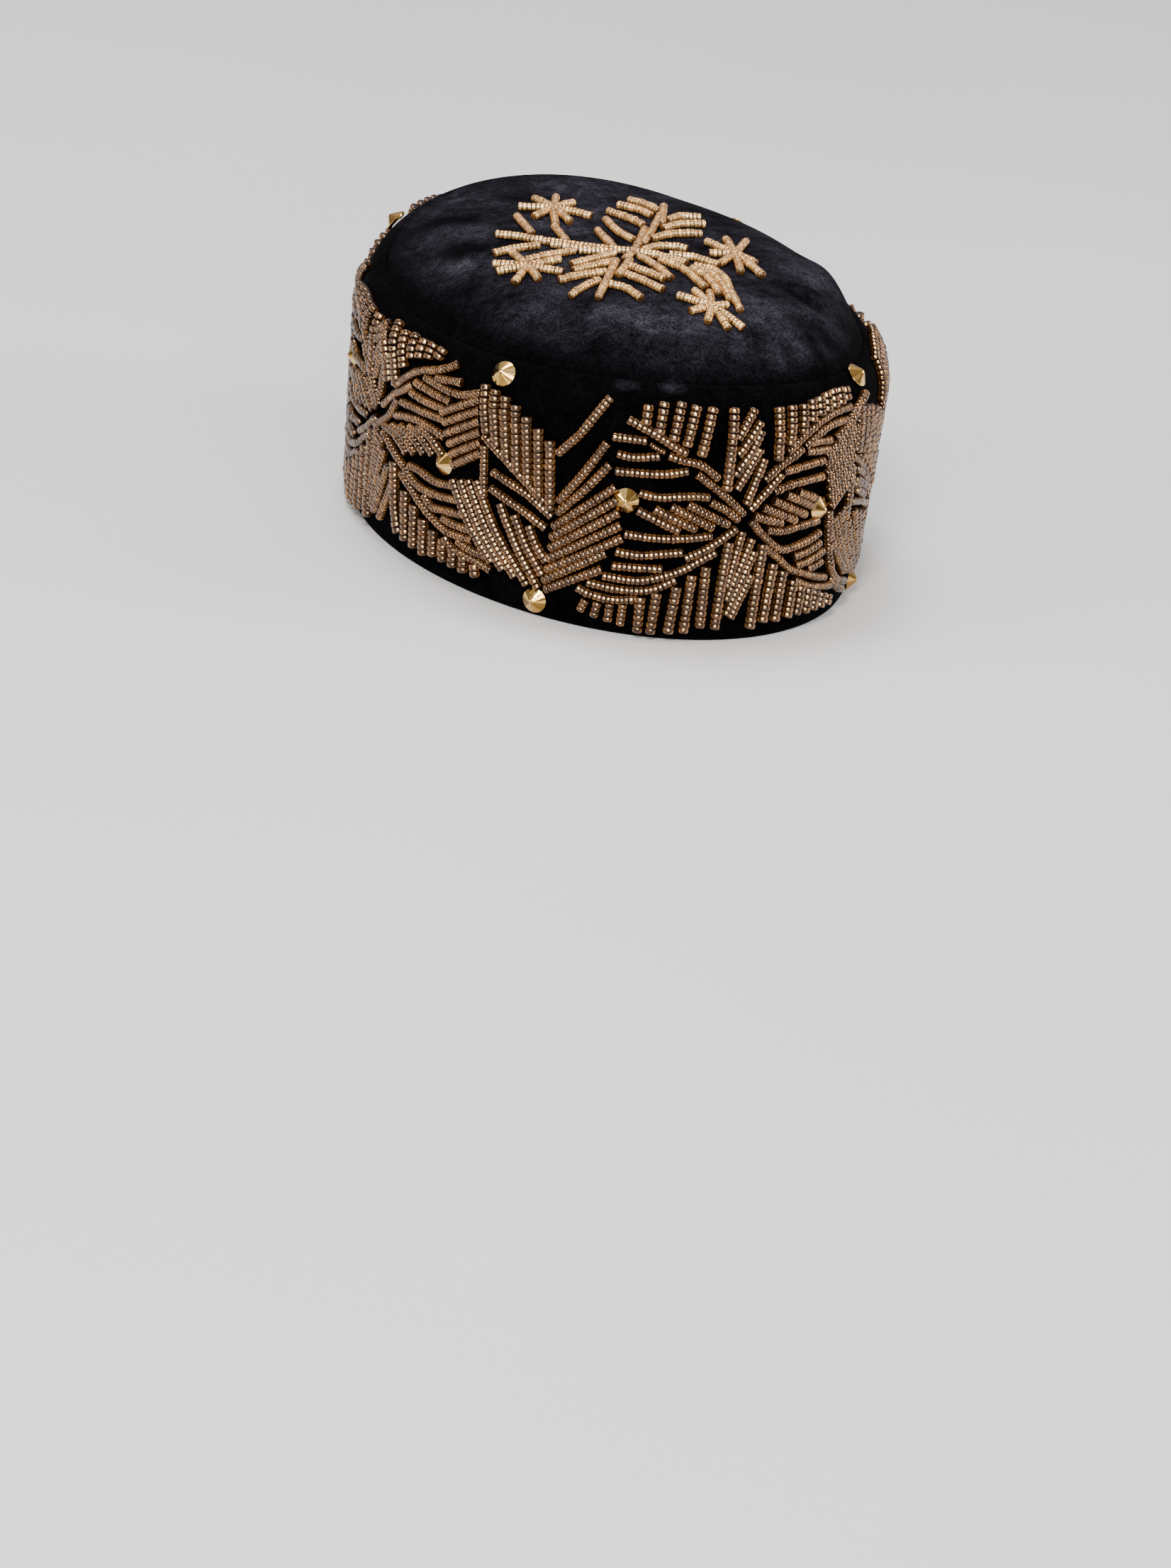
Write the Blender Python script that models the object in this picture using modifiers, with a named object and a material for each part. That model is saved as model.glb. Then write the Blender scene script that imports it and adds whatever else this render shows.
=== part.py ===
"""Embroidered velvet cap: an oval, flat topped cap with bead sprays and gold studs.

The cap stands on its rim with its front towards -Y and +Z up. The origin is on the
floor under the middle of its box. Lengths are in metres, and the charts of the bead
work are in millimetres.
"""

import math

import bmesh
import bpy
from mathutils import Vector
from mathutils.geometry import delaunay_2d_cdt

MM = 0.001

# The velvet shell, outside sizes
RIM_HALF_LENGTH = 0.1065
RIM_HALF_WIDTH = 0.0835
TOP_HALF_LENGTH = 0.1015
TOP_HALF_WIDTH = 0.0885
HEM_HEIGHT = 0.004
WALL_HEIGHT = 0.0725
SHOULDER_RISE = 0.0165
SHOULDER_INSET = 0.0075
SHOULDER_SPAN = 0.020
BACK_LIFT = 0.062
BAND_THICKNESS = 0.0025
CROWN_THICKNESS = 0.002

# The seam between band and crown rises and falls around the cap
SEAM_WAVE = 0.0048
SEAM_WAVE_TURN = math.radians(13)
SEAM_TILT = 0.0020
SEAM_TILT_TURN = math.radians(27)

# The crown panel puffs up from the seam, most of all at the
# front, on the wearer's left
CROWN_PUFF = 0.0145
PUFF_POWER = 5
PUFF_TO_LEFT = 0.28
PUFF_TO_FRONT = 0.4
CROWN_GAP = 0.0007

# Soft folds of the crown, running in from the seam, and a swell beside them.
# Columns: turn from the front in degrees, inner end, outer end (shares of the
# way from the middle to the seam), half width, depth, which is negative in a swell
CROWN_FOLDS = (
    (34, 0.62, 1.00, 0.0060, 0.0018),
    (47, 0.55, 0.97, 0.0070, 0.0022),
    (63, 0.66, 0.99, 0.0060, 0.0014),
    (-72, 0.68, 0.98, 0.0075, 0.0012),
    (150, 0.64, 0.98, 0.0090, 0.0015),
    (80, 0.80, 1.00, 0.0130, -0.0032),
    (168, 0.45, 0.93, 0.0300, 0.0011),
)

# The bead work, as raised fields of strands lying on the velvet
BEAD_GAP = 0.0004
BAND_BEAD_TOP = 0.0033
CROWN_BEAD_TOP = 0.0028
BEND_STEP = 0.0095
FLAT_ENOUGH = math.radians(1)

# Sizes of one faceted stud
STUD_FACETS = 12
STUD_BASE_RADIUS = 0.0041
STUD_RADIUS = 0.0044
STUD_GIRDLE_HEIGHT = 0.0010
STUD_POINT_HEIGHT = 0.0034

SIDES = 56
WALL_ROWS = (0.0, HEM_HEIGHT, 0.027, 0.050, WALL_HEIGHT)
SHOULDER_ROWS = 5
CROWN_RINGS = (1.0, 0.95, 0.87, 0.76, 0.62, 0.36, 0.0)

MIDDLE_LENGTH = (RIM_HALF_LENGTH + TOP_HALF_LENGTH) / 2
MIDDLE_WIDTH = (RIM_HALF_WIDTH + TOP_HALF_WIDTH) / 2
MEAN_RADIUS = math.sqrt((MIDDLE_LENGTH**2 + MIDDLE_WIDTH**2) / 2)
OVALNESS = (MIDDLE_LENGTH**2 - MIDDLE_WIDTH**2) / (8 * MEAN_RADIUS**2)
GIRTH = 2 * math.pi * MEAN_RADIUS

# One flower of the band, as leaves. Each leaf is an outline in millimetres:
# along the band from the flower's middle, and up from the rim.
FLOWER_LEAVES = (
    ("upper left bars", (-39, 84.5), (-13.5, 85.5), (-16.5, 69.5), (-39, 76)),
    ("left twigs", (-46, 75), (-37, 76.5), (-21, 70), (-20, 64), (-46, 60.5)),
    ("upper left vein", (-31, 72), (-29, 69), (-2.5, 47.5), (0.5, 50.5), (-10.5, 63), (-18, 70)),
    ("left leaf", (-36.5, 57), (-13, 57.5), (-2, 46), (-5, 43.5), (-24, 40.5), (-36.5, 46.8)),
    ("left bars", (-41.5, 40.5), (-11.5, 42.5), (-20.5, 30.5), (-43.5, 30.3)),
    ("lower left vein", (-5, 46), (-1, 44), (-20, 30), (-23, 32)),
    ("lower left twigs", (-46, 28), (-28, 29), (-9, 36.5), (-9, 33), (-30, 22), (-47, 20.5)),
    ("lowest left twigs", (-57, 16.5), (-53.5, 19.5), (-22, 25.5), (-34, 14), (-55, 12.5)),
    ("lower left bars", (-15.5, 31), (-12, 31.5), (-12.5, 5), (-37, 1.8), (-36.5, 16.5)),
    ("short left bars", (-36, 14.5), (-54, 13.5), (-56.5, 6), (-36, 2.7)),
    ("top middle", (-10, 84.5), (1.5, 83.5), (6, 70), (0, 49.5), (-3, 49.5), (-10.5, 57)),
    ("bottom middle", (-2.5, 46), (1, 46), (6, 34), (5, 25), (-3, 7.5), (-10.5, 4.5), (-8, 39)),
    ("upper right bars", (7, 84.5), (38, 87.5), (43.5, 85), (43.5, 78), (22, 74), (12, 67), (7.5, 68)),
    ("upper right vein",
        (-1, 50), (2, 48), (13.5, 63), (21, 70), (42, 75.5), (43, 80), (13, 73.5), (3.5, 62),
    ),
    ("right twigs", (20, 73), (31, 73), (30, 62), (11, 60.5)),
    ("right bar", (7, 54), (8, 57.5), (15, 61.5), (30, 61.5), (30, 57), (16, 55)),
    ("right leaf", (15, 57.5), (28.5, 53), (26.5, 48), (17, 42.5), (1, 47)),
    ("middle right sweep",
        (-0.5, 48.5), (6, 46), (27, 43.5), (31.5, 41.2), (31.5, 39), (18, 38.5), (33, 38),
        (34.5, 35.5), (16, 32), (4.5, 40),
    ),
    ("lower right sweep", (6, 39), (16, 34.5), (35, 33.8), (38, 28), (37.5, 22), (20, 24), (12, 29)),
    ("lowest right twigs", (16, 28), (41, 19), (49.5, 13.5), (49, 11), (37, 12.5), (22, 18)),
    ("lower right bars", (5, 40.5), (8.5, 39), (28, 18.5), (36, 14), (45.5, 12), (45.5, 5), (3, 3.5)),
)

# One zigzag between two flowers, measured from its own middle
CHEVRON_LEAVES = (
    ("upper bars", (-20, 77.3), (-7, 77.3), (10, 69.5), (10, 41), (6, 41), (-18.5, 60.5)),
    ("side strands", (-36.5, 61.5), (-20, 74.5), (-17.5, 75), (-16.5, 53), (-30.5, 45)),
    ("middle strands", (-19, 60.5), (10, 46.5), (10, 38), (8, 33), (-16, 40.5), (-19, 37.5)),
    ("lower strands",
        (-31.5, 40.5), (-27, 45.5), (-18, 42.5), (-8, 40), (2, 35.5), (9.5, 22), (6, 12),
        (-1, 10.8), (-15, 15),
    ),
    ("rising strands",
        (8.5, 34), (11, 49), (27, 73), (28, 64), (28, 57), (28.5, 46.5), (32.5, 43.5),
        (32.5, 38), (28, 30), (26, 23), (7.5, 11.6), (6.5, 16),
    ),
    ("top strand", (9, 60), (24.5, 83), (27, 82), (12, 60)),
)

# Spray on the crown. Each strand is a width, and then places in millimetres from
# the crown's middle: to the wearer's left, and to the back.
SPRAY_STRANDS = (
    ("long stem", 3.0, (-2, -6.5), (-10, -2), (-20, 5), (-29.5, 13.5), (-34, 19), (-40.2, 24.5)),
    ("stem side", 3.0, (-11, -3.5), (-20, 1.5), (-27, 8)),
    ("stem twig", 2.8, (-28.5, 17), (-25, 39.5)),
    ("star twig", 2.8, (-20.5, 8), (-17.5, 24)),
    ("left twig", 2.8, (-49, 7), (-40, 7.8), (-26, 9)),
    ("low left stem", 3.0, (-29.5, -1.8), (-22, -0.5), (-8.5, -5.5)),
    ("low left leaf one", 3.0, (-29.5, -13.5), (-19, -10), (-6, -5.5)),
    ("low left leaf two", 3.0, (-31.5, -19), (-22, -16.5), (-13.5, -14.5)),
    ("low left leaf three", 3.0, (-40, -25.5), (-31, -24), (-21, -23.5)),
    ("low left leaf four", 3.0, (-41.5, -38.5), (-34, -33.5), (-27, -31)),
    ("front stem", 3.0, (-11.5, -13.5), (-23, -29), (-33.5, -43.5)),
    ("front leaf one", 3.0, (-10.3, -17.5), (-7.4, -27), (-4.8, -35.5)),
    ("front leaf two", 3.0, (-15.5, -24.5), (-12.8, -34), (-9.8, -44.5)),
    ("front leaf three", 3.0, (-25.5, -33), (-21.5, -39.5), (-20.2, -48.5)),
    ("front strand", 2.8, (-3, -8), (-1.5, -24), (-2.3, -35.5)),
    ("right stem", 3.0, (-1.5, -6), (4, -12), (8.5, -19), (10, -27)),
    ("right leaf", 2.8, (2.5, -12), (6.3, -27.5), (5.5, -44)),
    ("wing inner", 3.4, (10.5, -27), (10.6, -38), (9.4, -47)),
    ("wing outer", 3.4, (11.6, -25.5), (16.2, -30.5), (16.3, -40), (13, -50)),
    ("right twig", 2.8, (5, -12), (8.5, -12.5), (15, -16.5), (17.2, -21)),
    ("right strand", 3.0, (0, -6.5), (9, -3.5), (14, -5), (17.5, -9)),
    ("right leaf one", 3.0, (6.8, 4.2), (20, 7.5), (30.5, 5.8)),
    ("right leaf two", 3.0, (15.8, 12.8), (28, 16.8), (36.8, 15.6)),
    ("right leaf three", 3.0, (22.8, 21), (32, 25.5), (39, 23.2)),
    ("back stem", 3.0, (-18.5, -27.5), (-9.5, -14.5), (-1, -5), (12.5, 14.5)),
    ("back stem side", 3.0, (4, 0.5), (14, 12), (25, 27.5)),
    ("back stem tip", 2.8, (21.5, 19.5), (31.8, 38)),
    ("back leaf one", 3.0, (3.4, 3), (2.2, 16), (3.8, 28)),
    ("back leaf two", 3.0, (14.5, 15.5), (12.2, 28), (8.8, 36.5)),
    ("back leaf three", 3.0, (22.7, 26), (20.2, 35.5), (16.2, 43)),
    ("back leaf four", 2.8, (28, 31.5), (26.8, 42), (24, 50)),
    ("back strand", 2.8, (-7, -4), (-5.8, 9), (-4.5, 17.5)),
)

# Columns: name, to the wearer's left, to the back, turn in degrees
STARS = (
    ("bead_star_back", -9, 44.5, 0),
    ("bead_star_right", -44.6, -9.6, 22),
    ("bead_star_left", 31.5, -18, 10),
    ("bead_star_front", 0.2, -61.5, 0),
)
STAR_RAYS = 8
STAR_RAY_LENGTH = 10.5
STAR_RAY_WIDTH = 2.9

# Columns: name of the side, flower's middle along the band in millimetres
FLOWERS = (("front", 0), ("right", -151), ("left", 147), ("back", 299.8))
# Columns: name of the corner, zigzag's middle along the band in millimetres
CHEVRONS = (
    ("front_right", -75.6),
    ("front_left", 68.5),
    ("back_left", 224.3),
    ("back_right", -226.6),
)
# Studs around each zigzag, in millimetres: along the band from the front, and up
# from the rim. Columns: corner, top stud, its two side studs, bottom stud
STUDS = (
    ("front_right", (-89, 83), (-111.5, 44), (-41.8, 51.5), (-71.6, 6.4)),
    ("front_left", (55.5, 87), (32, 46.2), (102.3, 51.5), (72.8, 6.2)),
    ("back_left", (209.8, 84), (187.3, 45), (258.1, 51.5), (228.6, 6.2)),
    ("back_right", (-241, 84), (-263.2, 45), (-192.8, 51.5), (-222.3, 6.2)),
)
STUD_SPOTS = ("top", "side_a", "side_b", "bottom")


def turn_at(along):
    """Angle around the oval, from the front, at a distance along the band."""
    return along / MEAN_RADIUS + OVALNESS * math.sin(2 * along / MEAN_RADIUS)


def seam_wave(turn):
    return SEAM_WAVE * math.cos(2 * (turn + SEAM_WAVE_TURN)) + SEAM_TILT * math.sin(
        turn - SEAM_TILT_TURN
    )


def on_band(along, up):
    """Point of the band's outside, by the distance along it and up from the rim."""
    turn = turn_at(along)
    flare = min(max(up - HEM_HEIGHT, 0) / (WALL_HEIGHT - HEM_HEIGHT), 1)
    quarter = min(max(up - WALL_HEIGHT, 0) / SHOULDER_SPAN, 1) * math.pi / 2
    inset = SHOULDER_INSET * (1 - math.cos(quarter))
    rise = (SHOULDER_RISE + seam_wave(turn)) * math.sin(quarter)
    width = RIM_HALF_WIDTH + (TOP_HALF_WIDTH - RIM_HALF_WIDTH) * flare - inset
    length = RIM_HALF_LENGTH + (TOP_HALF_LENGTH - RIM_HALF_LENGTH) * flare - inset
    x = width * math.sin(turn)
    y = -length * math.cos(turn)
    lift = BACK_LIFT * y * min(up / WALL_HEIGHT, 1)
    return Vector((x, y, min(up, WALL_HEIGHT) + rise + lift))


def fold_depth(turn, share):
    """How far the crown's soft folds sink it at one place."""
    depth = 0
    for degrees, inner, outer, half_width, deepest in CROWN_FOLDS:
        side = math.remainder(turn - math.radians(degrees), 2 * math.pi)
        across = side * share * MEAN_RADIUS / half_width
        along = (share - inner) / (outer - inner)
        if abs(across) < 3 and 0 < along < 1:
            depth += deepest * math.exp(-(across**2)) * math.sin(math.pi * along)
    return depth


def on_crown(x, y):
    """Point of the crown panel's outside, above a place on the floor."""
    across = x / (TOP_HALF_WIDTH - SHOULDER_INSET)
    back = y / (TOP_HALF_LENGTH - SHOULDER_INSET)
    share = min(math.hypot(across, back), 1)
    turn = math.atan2(across, -back)
    puff = CROWN_PUFF * (1 + PUFF_TO_LEFT * across - PUFF_TO_FRONT * back)
    height = WALL_HEIGHT + SHOULDER_RISE + BACK_LIFT * y + seam_wave(turn) * share**6
    height += puff * (1 - share**PUFF_POWER) - fold_depth(turn, share)
    return Vector((x, y, height))


def normal_on(surface, first, second):
    step = 0.0005
    one = surface(first + step, second) - surface(first - step, second)
    other = surface(first, second + step) - surface(first, second - step)
    return one.cross(other).normalized()


def lifted(surface, first, second, out):
    return surface(first, second) + normal_on(surface, first, second) * out


def principled(name, colour, roughness, metallic):
    material = bpy.data.materials.new(name)
    material.use_nodes = True
    shader = material.node_tree.nodes["Principled BSDF"]
    shader.inputs["Base Color"].default_value = (*colour, 1)
    shader.inputs["Roughness"].default_value = roughness
    shader.inputs["Metallic"].default_value = metallic
    return material


def add_object(name, mesh_edit, material, collection):
    """Turns a finished bmesh into a named object of the cap."""
    mesh = bpy.data.meshes.new(name)
    mesh_edit.to_mesh(mesh)
    mesh_edit.free()
    mesh.materials.append(material)
    thing = bpy.data.objects.new(name, mesh)
    collection.objects.link(thing)
    return thing


def grid_sheet(columns, rows, place):
    """A sheet of columns by rows, each corner moved to place(column, row)."""
    sheet = bmesh.new()
    bmesh.ops.create_grid(sheet, x_segments=columns, y_segments=rows, size=0.5)
    for vert in sheet.verts:
        column = round((vert.co.x + 0.5) * columns)
        row = round((vert.co.y + 0.5) * rows)
        vert.co = place(column, row)
    bmesh.ops.remove_doubles(sheet, verts=sheet.verts, dist=1e-6)
    return sheet


def add_wall(thing, thickness):
    """Gives an open shell its cloth thickness on the inside."""
    wall = thing.modifiers.new("cloth", "SOLIDIFY")
    wall.thickness = thickness
    wall.offset = -1
    wall.use_even_offset = True
    thing.data.shade_smooth()


def side_band(material, collection):
    rows = list(WALL_ROWS)
    for step in range(1, SHOULDER_ROWS + 1):
        rows.append(WALL_HEIGHT + SHOULDER_SPAN * step / SHOULDER_ROWS)

    def place(column, row):
        return on_band(GIRTH * (column % SIDES) / SIDES, rows[row])

    shell = grid_sheet(SIDES, len(rows) - 1, place)
    band = add_object("side_band", shell, material, collection)
    add_wall(band, BAND_THICKNESS)


def crown_top(material, collection):
    edge_width = TOP_HALF_WIDTH - SHOULDER_INSET - CROWN_GAP
    edge_length = TOP_HALF_LENGTH - SHOULDER_INSET - CROWN_GAP

    def place(column, row):
        turn = turn_at(GIRTH * (column % SIDES) / SIDES)
        share = CROWN_RINGS[row]
        x = edge_width * share * math.sin(turn)
        return on_crown(x, -edge_length * share * math.cos(turn))

    shell = grid_sheet(SIDES, len(CROWN_RINGS) - 1, place)
    crown = add_object("crown_top", shell, material, collection)
    add_wall(crown, CROWN_THICKNESS)


def joined_outline(outlines):
    """One flat sheet covering every outline, in a bmesh at height zero."""
    points = []
    faces = []
    for outline in outlines:
        faces.append(list(range(len(points), len(points) + len(outline))))
        points.extend(Vector(corner) * MM for corner in outline)
    spots, _, pieces, _, _, sources = delaunay_2d_cdt(points, [], faces, 1, 1e-6)
    sheet = bmesh.new()
    corners = [sheet.verts.new((spot.x, spot.y, 0)) for spot in spots]
    for piece, source in zip(pieces, sources):
        if source:
            sheet.faces.new([corners[index] for index in piece])
    loose = [vert for vert in sheet.verts if not vert.link_faces]
    bmesh.ops.delete(sheet, geom=loose, context="VERTS")
    bmesh.ops.dissolve_limit(
        sheet, angle_limit=FLAT_ENOUGH, verts=sheet.verts, edges=sheet.edges
    )
    return sheet


def cut_for_bending(sheet, lines):
    """Cuts the flat sheet along lines, each a point and the way it faces."""
    for point, facing in lines:
        everything = sheet.verts[:] + sheet.edges[:] + sheet.faces[:]
        bmesh.ops.bisect_plane(
            sheet, geom=everything, dist=1e-6, plane_co=point, plane_no=facing
        )


def bead_pad(name, outlines, surface, middle, top, lines, material, collection):
    """A raised field of bead strands, bent onto the band or the crown."""
    sheet = joined_outline(outlines)
    cut_for_bending(sheet, lines)
    raised = bmesh.ops.extrude_face_region(sheet, geom=sheet.faces[:])["geom"]
    for part in raised:
        if isinstance(part, bmesh.types.BMVert):
            part.co.z = 1
    bmesh.ops.recalc_face_normals(sheet, faces=sheet.faces)
    for vert in sheet.verts:
        out = BEAD_GAP + (top - BEAD_GAP) * vert.co.z
        vert.co = lifted(surface, middle[0] + vert.co.x, middle[1] + vert.co.y, out)
    bmesh.ops.triangulate(sheet, faces=sheet.faces)
    return add_object(name, sheet, material, collection)


def band_lines(middle):
    """Cuts that follow the band's turn, and the rows of its shoulder."""
    lines = []
    first = math.ceil((middle - 0.060) / BEND_STEP)
    last = math.floor((middle + 0.060) / BEND_STEP)
    for step in range(first, last + 1):
        lines.append(((step * BEND_STEP - middle, 0, 0), (1, 0, 0)))
    for step in range(SHOULDER_ROWS):
        up = WALL_HEIGHT + SHOULDER_SPAN * step / SHOULDER_ROWS
        lines.append(((0, up, 0), (0, 1, 0)))
    return lines


def crown_lines():
    lines = []
    for step in range(-7, 8):
        lines.append(((step * BEND_STEP, 0, 0), (1, 0, 0)))
        lines.append(((0, step * BEND_STEP, 0), (0, 1, 0)))
    return lines


def strip(start, end, width):
    """A straight strip of a strand, a little longer than its two ends."""
    start = Vector(start)
    end = Vector(end)
    way = (end - start).normalized() * width / 2
    side = Vector((-way.y, way.x))
    start -= way
    end += way
    return (start - side, end - side, end + side, start + side)


def star_outlines(across, back, turn_degrees):
    """Rays of a small star, each a strip from side to side through its middle."""
    outlines = []
    middle = Vector((across, back))
    for ray in range(STAR_RAYS // 2):
        angle = math.radians(turn_degrees) + math.pi * ray * 2 / STAR_RAYS
        way = Vector((math.cos(angle), math.sin(angle))) * STAR_RAY_LENGTH
        outlines.append(strip(middle - way, middle + way, STAR_RAY_WIDTH))
    return outlines


def gold_stud(name, along, up, material, collection):
    """A round foot, a thin girdle and a faceted cone that ends in a point."""
    stud = bmesh.new()
    bmesh.ops.create_cone(
        stud,
        cap_ends=True,
        segments=STUD_FACETS,
        radius1=STUD_BASE_RADIUS,
        radius2=STUD_RADIUS,
        depth=STUD_GIRDLE_HEIGHT,
    )
    top = max(stud.faces, key=lambda face: face.calc_center_median().z)
    bmesh.ops.poke(stud, faces=[top], offset=STUD_POINT_HEIGHT)
    thing = add_object(name, stud, material, collection)
    out = BEAD_GAP + STUD_GIRDLE_HEIGHT / 2
    normal = normal_on(on_band, along, up)
    thing.location = on_band(along, up) + normal * out
    thing.rotation_mode = "QUATERNION"
    thing.rotation_quaternion = normal.to_track_quat("Z", "Y")


def build_cap():
    for old in list(bpy.data.objects):
        bpy.data.objects.remove(old)
    collection = bpy.data.collections.new("velvet_cap")
    bpy.context.scene.collection.children.link(collection)
    velvet = principled("velvet", (0.012, 0.012, 0.018), 0.9, 0.0)
    beads = principled("seed_beads", (0.45, 0.29, 0.13), 0.3, 0.6)
    gold = principled("gold_studs", (0.80, 0.58, 0.28), 0.2, 1.0)

    side_band(velvet, collection)
    crown_top(velvet, collection)

    for side, middle in FLOWERS:
        outlines = [leaf[1:] for leaf in FLOWER_LEAVES]
        place = (middle * MM, 0)
        lines = band_lines(middle * MM)
        name = "bead_flower_" + side
        bead_pad(name, outlines, on_band, place, BAND_BEAD_TOP, lines, beads, collection)

    for corner, middle in CHEVRONS:
        outlines = [leaf[1:] for leaf in CHEVRON_LEAVES]
        place = (middle * MM, 0)
        lines = band_lines(middle * MM)
        name = "bead_chevron_" + corner
        bead_pad(name, outlines, on_band, place, BAND_BEAD_TOP, lines, beads, collection)

    for corner, *places in STUDS:
        for spot, (along, up) in zip(STUD_SPOTS, places):
            gold_stud("stud_" + corner + "_" + spot, along * MM, up * MM, gold, collection)

    outlines = []
    for strand in SPRAY_STRANDS:
        for start, end in zip(strand[2:], strand[3:]):
            outlines.append(strip(start, end, strand[1]))
    lines = crown_lines()
    bead_pad("bead_crown_spray", outlines, on_crown, (0, 0), CROWN_BEAD_TOP, lines, beads, collection)
    for name, across, back, turn_degrees in STARS:
        outlines = star_outlines(across, back, turn_degrees)
        bead_pad(name, outlines, on_crown, (0, 0), CROWN_BEAD_TOP, lines, beads, collection)


build_cap()
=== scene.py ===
"""Looks of the embroidered velvet cap: velvet, seed beads on couched strands and gold studs."""

import math

import bmesh
import bpy
import numpy as np
from mathutils import Matrix, Vector


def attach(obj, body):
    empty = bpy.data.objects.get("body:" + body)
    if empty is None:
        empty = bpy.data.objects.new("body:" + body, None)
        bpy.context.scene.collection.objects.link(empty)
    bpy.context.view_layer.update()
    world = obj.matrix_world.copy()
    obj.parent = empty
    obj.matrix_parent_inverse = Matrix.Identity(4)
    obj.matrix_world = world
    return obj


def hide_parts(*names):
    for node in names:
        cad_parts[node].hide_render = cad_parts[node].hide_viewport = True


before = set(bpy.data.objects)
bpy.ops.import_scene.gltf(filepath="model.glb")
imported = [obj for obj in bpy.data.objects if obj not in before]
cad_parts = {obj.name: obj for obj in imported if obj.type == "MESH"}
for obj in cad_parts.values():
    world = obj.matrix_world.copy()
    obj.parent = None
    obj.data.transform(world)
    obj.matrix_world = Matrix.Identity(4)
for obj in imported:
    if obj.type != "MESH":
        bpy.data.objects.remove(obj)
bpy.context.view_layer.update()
MM = 0.001

# Camera
# Seen from the front and the wearer's right, a little above, with the picture
# turned so that the cap's rim runs down to the right. Lengths in the picture are
# in the photo's pixels.
CAMERA_AROUND = math.radians(-28.5)
CAMERA_UP = math.radians(18.9)
CAMERA_ROLL = math.radians(7.1)
CAMERA_AWAY = 1.8
LOOKED_AT = Vector((0, 0, 0.040))
FOCAL_PIXELS = 7200
PICTURE_HEIGHT = 2213
SENSOR_HEIGHT = 36
CAP_RIGHT_OF_MIDDLE = 33.7
CAP_ABOVE_MIDDLE = 512.4

away = Vector((
    math.sin(CAMERA_AROUND) * math.cos(CAMERA_UP),
    -math.cos(CAMERA_AROUND) * math.cos(CAMERA_UP),
    math.sin(CAMERA_UP),
))
level = away.cross((0, 0, -1)).normalized()
upright = away.cross(level)
right = level * math.cos(CAMERA_ROLL) + upright * math.sin(CAMERA_ROLL)
above = upright * math.cos(CAMERA_ROLL) - level * math.sin(CAMERA_ROLL)
aim = -away - (above * CAP_ABOVE_MIDDLE + right * CAP_RIGHT_OF_MIDDLE) / FOCAL_PIXELS
aim.normalize()
right = (right - aim * right.dot(aim)).normalized()
above = right.cross(aim)
camera = bpy.data.objects.new("camera", bpy.data.cameras.new("camera"))
camera.matrix_world = Matrix((right, above, -aim)).transposed().to_4x4()
camera.location = LOOKED_AT + away * CAMERA_AWAY
camera.data.sensor_fit = "VERTICAL"
camera.data.sensor_height = SENSOR_HEIGHT
camera.data.lens = SENSOR_HEIGHT * FOCAL_PIXELS / PICTURE_HEIGHT
camera.data.clip_end = 20
bpy.context.scene.collection.objects.link(camera)
bpy.context.scene.camera = camera

# Side band
# Black velvet over a stiff backing, closed into an oval tube, with the hem turned
# in at the rim and the top edge rounded over to the seam of the crown.
RIM_HALF = (83.5 * MM, 106.5 * MM)
TOP_HALF = (88.5 * MM, 101.5 * MM)
HEM = 4 * MM
WALL = 72.5 * MM
SHOULDER_RISE = 16.5 * MM
SHOULDER_INSET = 7.5 * MM
SHOULDER_SPAN = 20 * MM
BACK_LIFT = 0.062
SEAM_WAVE = 4.8 * MM
SEAM_WAVE_TURN = math.radians(13)
SEAM_TILT = 2.0 * MM
SEAM_TILT_TURN = math.radians(27)
BAND_CLOTH = 2.5 * MM
BAND_TOP = 92.5 * MM
HEM_ROUND = 1.2 * MM
NEARBY = 0.3 * MM
SAME_PLACE = 1e-7
MIDDLE_WIDE = (RIM_HALF[0] + TOP_HALF[0]) / 2
MIDDLE_LONG = (RIM_HALF[1] + TOP_HALF[1]) / 2
MEAN_RADIUS = math.sqrt((MIDDLE_WIDE**2 + MIDDLE_LONG**2) / 2)
OVALNESS = (MIDDLE_LONG**2 - MIDDLE_WIDE**2) / (8 * MEAN_RADIUS**2)
GIRTH = 2 * math.pi * MEAN_RADIUS


def turn_at(along):
    """The turn about the cap's middle, from the front, at a way along the band."""
    return along / MEAN_RADIUS + OVALNESS * np.sin(2 * along / MEAN_RADIUS)


def seam_wave(turn):
    """How far the seam round the crown rises above its level, at a turn."""
    tilt = SEAM_TILT * np.sin(turn - SEAM_TILT_TURN)
    return SEAM_WAVE * np.cos(2 * (turn + SEAM_WAVE_TURN)) + tilt


def on_band(along, up):
    """Points of the band's outside, by the way along it and up from the rim."""
    turn = turn_at(along)
    flare = np.clip((up - HEM) / (WALL - HEM), 0, 1)
    quarter = np.clip((up - WALL) / SHOULDER_SPAN, 0, 1) * math.pi / 2
    inset = SHOULDER_INSET * (1 - np.cos(quarter))
    wide = RIM_HALF[0] + (TOP_HALF[0] - RIM_HALF[0]) * flare - inset
    long = RIM_HALF[1] + (TOP_HALF[1] - RIM_HALF[1]) * flare - inset
    y = -long * np.cos(turn)
    rise = (SHOULDER_RISE + seam_wave(turn)) * np.sin(quarter)
    z = np.minimum(up, WALL) + rise + BACK_LIFT * y * np.clip(up / WALL, 0, 1)
    return np.stack((wide * np.sin(turn), y, z), axis=-1)


def facing_out(surface, first, second):
    """The surface's outward direction at these places."""
    one = surface(first + NEARBY, second) - surface(first - NEARBY, second)
    other = surface(first, second + NEARBY) - surface(first, second - NEARBY)
    out = np.cross(one, other)
    return out / np.linalg.norm(out, axis=-1, keepdims=True)


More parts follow.
